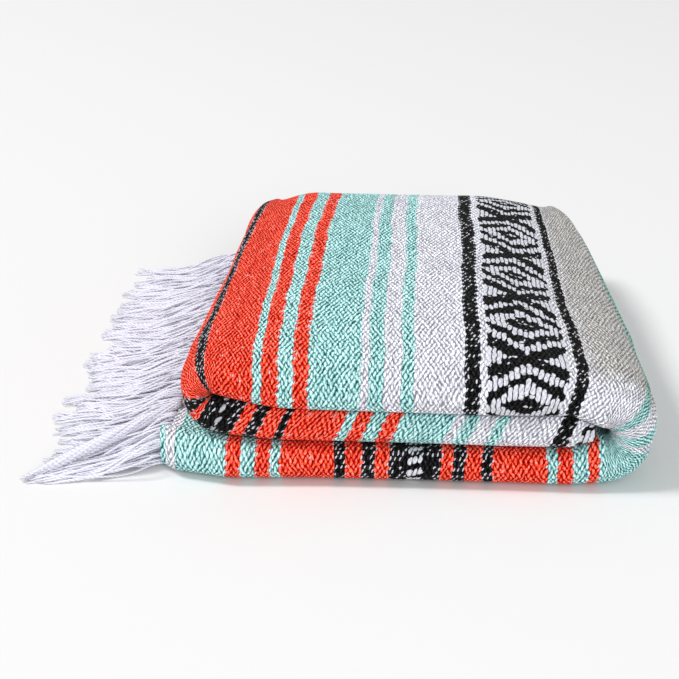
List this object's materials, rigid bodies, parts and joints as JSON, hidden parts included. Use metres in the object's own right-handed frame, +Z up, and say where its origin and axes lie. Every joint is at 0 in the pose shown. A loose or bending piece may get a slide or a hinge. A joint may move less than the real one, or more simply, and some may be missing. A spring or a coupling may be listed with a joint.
{
  "type": "folded striped blanket serape",
  "caption": "Thick striped blanket serape with a diamond band and twisted end fringe, folded into a square stack that lies on a surface.",
  "frame": {"origin": "on the floor under the middle of the folded stack, on the flat underside of its bottom run", "axes": "+X along the warp, away from the fringe; the stripes run along Y, with the closed folds at the front, -Y; +Z up"},
  "size_m": [0.3984, 0.3295, 0.093],
  "materials": {
    "cloth": "thick matt weft-faced weave of acrylic and recycled cotton yarn, striped red, mint, white and black",
    "inner_plies": "the same striped weave, seen at the edges of its folded plies",
    "fringe": "loosely plied white warp yarn with a soft matt nap"
  },
  "bodies": {
    "root": {"bottom_panel": "cloth", "right_fold": "cloth", "top_panel": "cloth", "left_fold": "cloth", "middle_panel": "cloth", "inner_layers": "inner_plies", "fringe_lower": "fringe", "fringe_upper": "fringe"}
  },
  "joints": []
}
